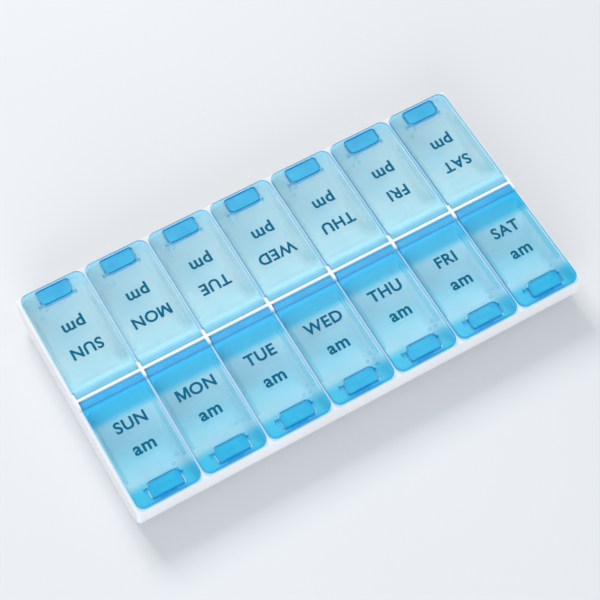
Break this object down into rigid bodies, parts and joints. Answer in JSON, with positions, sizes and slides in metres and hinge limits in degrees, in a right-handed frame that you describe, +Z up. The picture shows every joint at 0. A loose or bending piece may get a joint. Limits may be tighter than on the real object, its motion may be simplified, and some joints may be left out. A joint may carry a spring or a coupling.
{
  "type": "weekly pill organiser",
  "caption": "Flat white tray of scooped pill compartments in a morning row and an evening row, each under a hinged translucent blue lid with a push button.",
  "frame": {"origin": "middle of the face that the tray stands on", "axes": "+X along the week from Sunday to Saturday, +Y from the morning row to the evening row, +Z up"},
  "size_m": [0.1694, 0.0886, 0.0178],
  "materials": {
    "tray_white": "satin opaque white moulding",
    "lid_blue": "glossy translucent pale blue moulding",
    "button_blue": "glossy deeper blue moulding"
  },
  "bodies": {
    "tray": {"tray": "tray_white"},
    "lid_sun_am": {"lid_sun_am": "lid_blue"},
    "lid_mon_am": {"lid_mon_am": "lid_blue"},
    "lid_tue_am": {"lid_tue_am": "lid_blue"},
    "lid_wed_am": {"lid_wed_am": "lid_blue"},
    "lid_thu_am": {"lid_thu_am": "lid_blue"},
    "lid_fri_am": {"lid_fri_am": "lid_blue"},
    "lid_sat_am": {"lid_sat_am": "lid_blue"},
    "lid_sun_pm": {"lid_sun_pm": "lid_blue"},
    "lid_mon_pm": {"lid_mon_pm": "lid_blue"},
    "lid_tue_pm": {"lid_tue_pm": "lid_blue"},
    "lid_wed_pm": {"lid_wed_pm": "lid_blue"},
    "lid_thu_pm": {"lid_thu_pm": "lid_blue"},
    "lid_fri_pm": {"lid_fri_pm": "lid_blue"},
    "lid_sat_pm": {"lid_sat_pm": "lid_blue"},
    "button_sun_am": {"button_sun_am": "button_blue"},
    "button_mon_am": {"button_mon_am": "button_blue"},
    "button_tue_am": {"button_tue_am": "button_blue"},
    "button_wed_am": {"button_wed_am": "button_blue"},
    "button_thu_am": {"button_thu_am": "button_blue"},
    "button_fri_am": {"button_fri_am": "button_blue"},
    "button_sat_am": {"button_sat_am": "button_blue"},
    "button_sun_pm": {"button_sun_pm": "button_blue"},
    "button_mon_pm": {"button_mon_pm": "button_blue"},
    "button_tue_pm": {"button_tue_pm": "button_blue"},
    "button_wed_pm": {"button_wed_pm": "button_blue"},
    "button_thu_pm": {"button_thu_pm": "button_blue"},
    "button_fri_pm": {"button_fri_pm": "button_blue"},
    "button_sat_pm": {"button_sat_pm": "button_blue"}
  },
  "joints": [
    {"name": "lid_sun_am_hinge", "type": "hinge", "parent": "tray", "child": "lid_sun_am", "pos_m": [-0.072, -0.00215, 0.01635], "axis": [-1, 0, 0], "range_deg": [0, 90]},
    {"name": "button_sun_am_press", "type": "hinge", "parent": "lid_sun_am", "child": "button_sun_am", "pos_m": [-0.072, -0.03775, 0.0156], "axis": [1, 0, 0], "range_deg": [0, 8], "stiffness_Nm_per_rad": 0.02},
    {"name": "lid_mon_am_hinge", "type": "hinge", "parent": "tray", "child": "lid_mon_am", "pos_m": [-0.048, -0.00215, 0.01635], "axis": [-1, 0, 0], "range_deg": [0, 90]},
    {"name": "button_mon_am_press", "type": "hinge", "parent": "lid_mon_am", "child": "button_mon_am", "pos_m": [-0.048, -0.03775, 0.0156], "axis": [1, 0, 0], "range_deg": [0, 8], "stiffness_Nm_per_rad": 0.02},
    {"name": "lid_tue_am_hinge", "type": "hinge", "parent": "tray", "child": "lid_tue_am", "pos_m": [-0.024, -0.00215, 0.01635], "axis": [-1, 0, 0], "range_deg": [0, 90]},
    {"name": "button_tue_am_press", "type": "hinge", "parent": "lid_tue_am", "child": "button_tue_am", "pos_m": [-0.024, -0.03775, 0.0156], "axis": [1, 0, 0], "range_deg": [0, 8], "stiffness_Nm_per_rad": 0.02},
    {"name": "lid_wed_am_hinge", "type": "hinge", "parent": "tray", "child": "lid_wed_am", "pos_m": [0, -0.00215, 0.01635], "axis": [-1, 0, 0], "range_deg": [0, 90]},
    {"name": "button_wed_am_press", "type": "hinge", "parent": "lid_wed_am", "child": "button_wed_am", "pos_m": [0, -0.03775, 0.0156], "axis": [1, 0, 0], "range_deg": [0, 8], "stiffness_Nm_per_rad": 0.02},
    {"name": "lid_thu_am_hinge", "type": "hinge", "parent": "tray", "child": "lid_thu_am", "pos_m": [0.024, -0.00215, 0.01635], "axis": [-1, 0, 0], "range_deg": [0, 90]},
    {"name": "button_thu_am_press", "type": "hinge", "parent": "lid_thu_am", "child": "button_thu_am", "pos_m": [0.024, -0.03775, 0.0156], "axis": [1, 0, 0], "range_deg": [0, 8], "stiffness_Nm_per_rad": 0.02},
    {"name": "lid_fri_am_hinge", "type": "hinge", "parent": "tray", "child": "lid_fri_am", "pos_m": [0.048, -0.00215, 0.01635], "axis": [-1, 0, 0], "range_deg": [0, 90]},
    {"name": "button_fri_am_press", "type": "hinge", "parent": "lid_fri_am", "child": "button_fri_am", "pos_m": [0.048, -0.03775, 0.0156], "axis": [1, 0, 0], "range_deg": [0, 8], "stiffness_Nm_per_rad": 0.02},
    {"name": "lid_sat_am_hinge", "type": "hinge", "parent": "tray", "child": "lid_sat_am", "pos_m": [0.072, -0.00215, 0.01635], "axis": [-1, 0, 0], "range_deg": [0, 90]},
    {"name": "button_sat_am_press", "type": "hinge", "parent": "lid_sat_am", "child": "button_sat_am", "pos_m": [0.072, -0.03775, 0.0156], "axis": [1, 0, 0], "range_deg": [0, 8], "stiffness_Nm_per_rad": 0.02},
    {"name": "lid_sun_pm_hinge", "type": "hinge", "parent": "tray", "child": "lid_sun_pm", "pos_m": [-0.072, 0.00215, 0.01635], "axis": [1, 0, 0], "range_deg": [0, 90]},
    {"name": "button_sun_pm_press", "type": "hinge", "parent": "lid_sun_pm", "child": "button_sun_pm", "pos_m": [-0.072, 0.03775, 0.0156], "axis": [-1, 0, 0], "range_deg": [0, 8], "stiffness_Nm_per_rad": 0.02},
    {"name": "lid_mon_pm_hinge", "type": "hinge", "parent": "tray", "child": "lid_mon_pm", "pos_m": [-0.048, 0.00215, 0.01635], "axis": [1, 0, 0], "range_deg": [0, 90]},
    {"name": "button_mon_pm_press", "type": "hinge", "parent": "lid_mon_pm", "child": "button_mon_pm", "pos_m": [-0.048, 0.03775, 0.0156], "axis": [-1, 0, 0], "range_deg": [0, 8], "stiffness_Nm_per_rad": 0.02},
    {"name": "lid_tue_pm_hinge", "type": "hinge", "parent": "tray", "child": "lid_tue_pm", "pos_m": [-0.024, 0.00215, 0.01635], "axis": [1, 0, 0], "range_deg": [0, 90]},
    {"name": "button_tue_pm_press", "type": "hinge", "parent": "lid_tue_pm", "child": "button_tue_pm", "pos_m": [-0.024, 0.03775, 0.0156], "axis": [-1, 0, 0], "range_deg": [0, 8], "stiffness_Nm_per_rad": 0.02},
    {"name": "lid_wed_pm_hinge", "type": "hinge", "parent": "tray", "child": "lid_wed_pm", "pos_m": [0, 0.00215, 0.01635], "axis": [1, 0, 0], "range_deg": [0, 90]},
    {"name": "button_wed_pm_press", "type": "hinge", "parent": "lid_wed_pm", "child": "button_wed_pm", "pos_m": [0, 0.03775, 0.0156], "axis": [-1, 0, 0], "range_deg": [0, 8], "stiffness_Nm_per_rad": 0.02},
    {"name": "lid_thu_pm_hinge", "type": "hinge", "parent": "tray", "child": "lid_thu_pm", "pos_m": [0.024, 0.00215, 0.01635], "axis": [1, 0, 0], "range_deg": [0, 90]},
    {"name": "button_thu_pm_press", "type": "hinge", "parent": "lid_thu_pm", "child": "button_thu_pm", "pos_m": [0.024, 0.03775, 0.0156], "axis": [-1, 0, 0], "range_deg": [0, 8], "stiffness_Nm_per_rad": 0.02},
    {"name": "lid_fri_pm_hinge", "type": "hinge", "parent": "tray", "child": "lid_fri_pm", "pos_m": [0.048, 0.00215, 0.01635], "axis": [1, 0, 0], "range_deg": [0, 90]},
    {"name": "button_fri_pm_press", "type": "hinge", "parent": "lid_fri_pm", "child": "button_fri_pm", "pos_m": [0.048, 0.03775, 0.0156], "axis": [-1, 0, 0], "range_deg": [0, 8], "stiffness_Nm_per_rad": 0.02},
    {"name": "lid_sat_pm_hinge", "type": "hinge", "parent": "tray", "child": "lid_sat_pm", "pos_m": [0.072, 0.00215, 0.01635], "axis": [1, 0, 0], "range_deg": [0, 90]},
    {"name": "button_sat_pm_press", "type": "hinge", "parent": "lid_sat_pm", "child": "button_sat_pm", "pos_m": [0.072, 0.03775, 0.0156], "axis": [-1, 0, 0], "range_deg": [0, 8], "stiffness_Nm_per_rad": 0.02}
  ]
}
